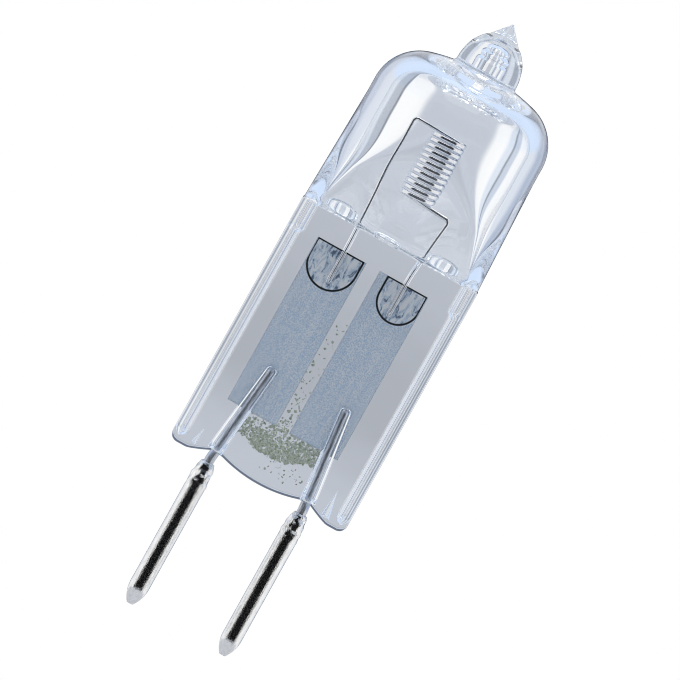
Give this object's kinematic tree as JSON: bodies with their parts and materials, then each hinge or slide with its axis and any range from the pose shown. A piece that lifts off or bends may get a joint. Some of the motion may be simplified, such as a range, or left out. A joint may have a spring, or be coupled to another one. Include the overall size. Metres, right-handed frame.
{
  "type": "halogen capsule bulb",
  "caption": "Clear quartz capsule bulb with an upright coiled filament, a flat pinch seal with foils and straight contact pins.",
  "frame": {"origin": "midway between the pin axes, level with the lowest glass of the pinch", "axes": "+Z along the bulb's axis to the exhaust tip, X through both pins, -Y the face where the wires lie in front of the foils"},
  "size_m": [0.012, 0.0114, 0.0415],
  "materials": {
    "fused_quartz": "clear, fire polished",
    "tungsten_wire": "drawn wire",
    "molybdenum_foil": "etched foil, satin",
    "molybdenum_wire": "drawn wire",
    "nickel_plate": "bright nickel"
  },
  "bodies": {
    "root": {"quartz_envelope": "fused_quartz", "filament": "tungsten_wire", "foil_left": "molybdenum_foil", "foil_right": "molybdenum_foil", "outer_lead_left": "molybdenum_wire", "outer_lead_right": "molybdenum_wire", "contact_pin_left": "nickel_plate", "contact_pin_right": "nickel_plate"}
  },
  "joints": []
}
